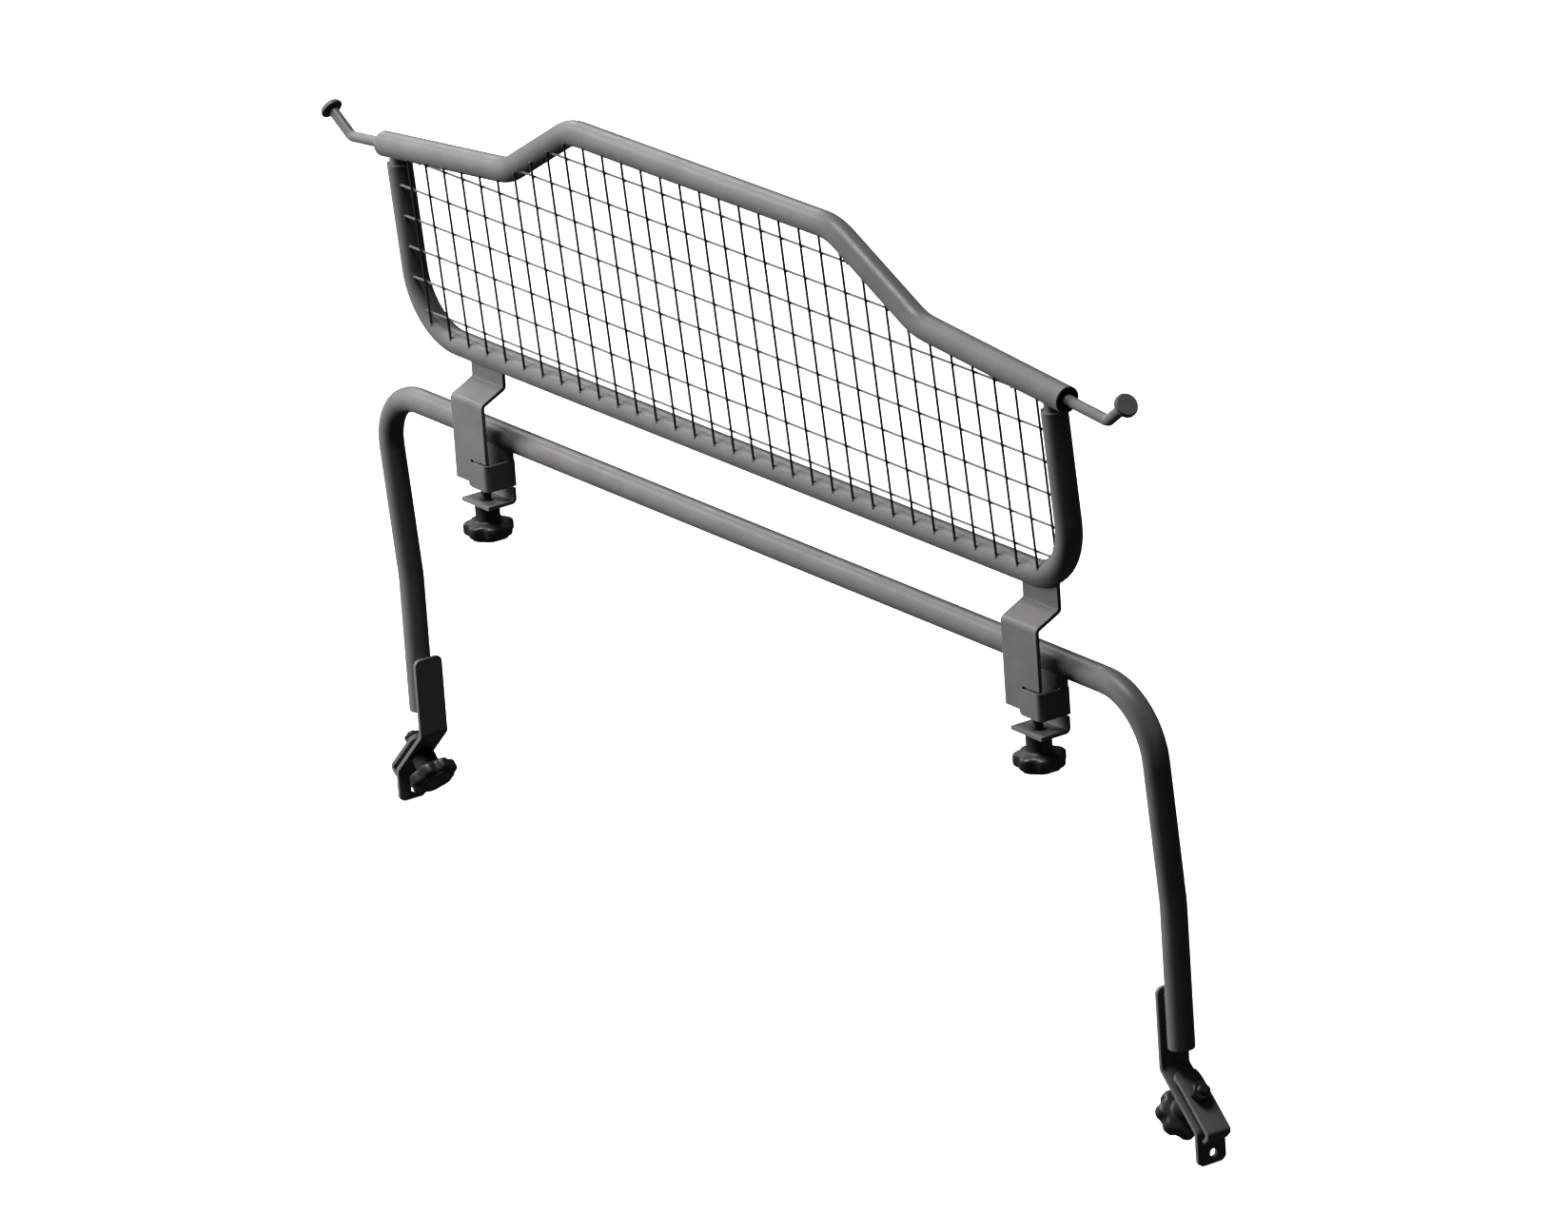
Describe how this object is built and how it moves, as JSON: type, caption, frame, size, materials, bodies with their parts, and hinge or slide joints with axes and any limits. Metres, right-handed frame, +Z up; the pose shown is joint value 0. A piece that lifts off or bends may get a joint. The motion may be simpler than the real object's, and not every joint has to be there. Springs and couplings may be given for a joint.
{
  "type": "vehicle cargo barrier",
  "caption": "Bent tube hoop with clamping feet carrying a leaning wire mesh panel, strip brackets with knob clamps, and telescopic end rods with round pads.",
  "frame": {"origin": "centre of the small hole in the left foot plate's tip, at the plate's middle", "axes": "+X along the barrier from the left foot to the right foot, +Z up along the lower legs, -Y towards the side the bracket knobs and strips stand on"},
  "size_m": [1.0546, 0.0692, 0.6419],
  "materials": {
    "powder_coat": "satin dark grey powder coat",
    "wire_coat": "satin black powder coat on thin wire",
    "black_steel": "black finished steel",
    "black_plastic": "moulded black plastic",
    "bush_plastic": "moulded black nylon",
    "rubber": "dark grey rubber"
  },
  "bodies": {
    "frame": {"bracket_left": "powder_coat", "bracket_right": "powder_coat", "bracket_weld_left": "powder_coat", "bracket_weld_right": "powder_coat", "end_bush_left": "bush_plastic", "end_bush_right": "bush_plastic", "foot_plate_left": "powder_coat", "foot_plate_right": "powder_coat", "foot_weld_left": "powder_coat", "foot_weld_right": "powder_coat", "hoop_tube": "powder_coat", "leg_plug_left": "black_plastic", "leg_plug_right": "black_plastic", "level_wires": "wire_coat", "neck_plug_left": "powder_coat", "neck_plug_right": "powder_coat", "panel_loop": "powder_coat", "saddle_left": "powder_coat", "saddle_nut_left": "black_steel", "saddle_nut_right": "black_steel", "saddle_right": "powder_coat", "top_tube": "powder_coat", "upright_wires": "wire_coat"},
    "foot_clamp_left": {"foot_jaw_left": "powder_coat", "foot_nut_left": "black_steel"},
    "foot_screw_left": {"foot_knob_left": "black_plastic", "foot_stud_left": "black_steel"},
    "bracket_clamp_left": {"clamp_jaw_left": "powder_coat"},
    "bracket_screw_left": {"clamp_knob_left": "black_plastic", "clamp_stud_left": "black_steel", "clamp_clip_left": "black_steel"},
    "slider_left": {"rod_slider_left": "bush_plastic"},
    "rod_left": {"end_rod_left": "powder_coat", "pad_plate_left": "powder_coat", "pad_rubber_left": "rubber"},
    "foot_clamp_right": {"foot_jaw_right": "powder_coat", "foot_nut_right": "black_steel"},
    "foot_screw_right": {"foot_knob_right": "black_plastic", "foot_stud_right": "black_steel"},
    "bracket_clamp_right": {"clamp_jaw_right": "powder_coat"},
    "bracket_screw_right": {"clamp_knob_right": "black_plastic", "clamp_stud_right": "black_steel", "clamp_clip_right": "black_steel"},
    "slider_right": {"rod_slider_right": "bush_plastic"},
    "rod_right": {"end_rod_right": "powder_coat", "pad_plate_right": "powder_coat", "pad_rubber_right": "rubber"}
  },
  "joints": [
    {"name": "foot_jaw_slide_left", "type": "slide", "parent": "frame", "child": "foot_clamp_left", "axis": [-0.7071, 0, 0.7071], "range_m": [-0.0025, 0.004]},
    {"name": "foot_knob_spin_left", "type": "hinge", "parent": "frame", "child": "foot_screw_left", "pos_m": [0.01708, -0.0015, 0.03528], "axis": [-0.7071, 0, 0.7071], "range_deg": [-1158, 726]},
    {"name": "bracket_jaw_slide_left", "type": "slide", "parent": "frame", "child": "bracket_clamp_left", "axis": [0, 0, 1], "range_m": [-0.008, 0.0012]},
    {"name": "bracket_knob_spin_left", "type": "hinge", "parent": "bracket_clamp_left", "child": "bracket_screw_left", "pos_m": [0.1878, -0.03075, 0.2916], "axis": [0, 0, 1], "range_deg": [-2310, 352]},
    {"name": "rod_slide_left", "type": "slide", "parent": "frame", "child": "slider_left", "axis": [-0.9956, 0.0067, -0.0938], "range_m": [-0.035, 0.045]},
    {"name": "rod_twist_left", "type": "hinge", "parent": "slider_left", "child": "rod_left", "pos_m": [0.0811, -0.02922, 0.55526], "axis": [-0.9956, 0.0067, -0.0938], "continuous": true},
    {"name": "foot_jaw_slide_right", "type": "slide", "parent": "frame", "child": "foot_clamp_right", "axis": [0.7071, 0, 0.7071], "range_m": [-0.0025, 0.004]},
    {"name": "foot_knob_spin_right", "type": "hinge", "parent": "frame", "child": "foot_screw_right", "pos_m": [1.01412, -0.0015, 0.03528], "axis": [0.7071, 0, 0.7071], "range_deg": [-1158, 726]},
    {"name": "bracket_jaw_slide_right", "type": "slide", "parent": "frame", "child": "bracket_clamp_right", "axis": [0, 0, 1], "range_m": [-0.008, 0.0012]},
    {"name": "bracket_knob_spin_right", "type": "hinge", "parent": "bracket_clamp_right", "child": "bracket_screw_right", "pos_m": [0.8926, -0.03075, 0.2916], "axis": [0, 0, 1], "range_deg": [-2310, 352]},
    {"name": "rod_slide_right", "type": "slide", "parent": "frame", "child": "slider_right", "axis": [0.9956, 0.0067, -0.0938], "range_m": [-0.035, 0.045]},
    {"name": "rod_twist_right", "type": "hinge", "parent": "slider_right", "child": "rod_right", "pos_m": [0.9501, -0.02922, 0.55526], "axis": [0.9956, 0.0067, -0.0938], "continuous": true}
  ],
  "couplings": [
    {"joint": "foot_knob_spin_left", "follows": "foot_jaw_slide_left", "rad_per_m": -5026.5},
    {"joint": "bracket_knob_spin_left", "follows": "bracket_jaw_slide_left", "rad_per_m": 5026.5},
    {"joint": "foot_knob_spin_right", "follows": "foot_jaw_slide_right", "rad_per_m": -5026.5},
    {"joint": "bracket_knob_spin_right", "follows": "bracket_jaw_slide_right", "rad_per_m": 5026.5}
  ]
}
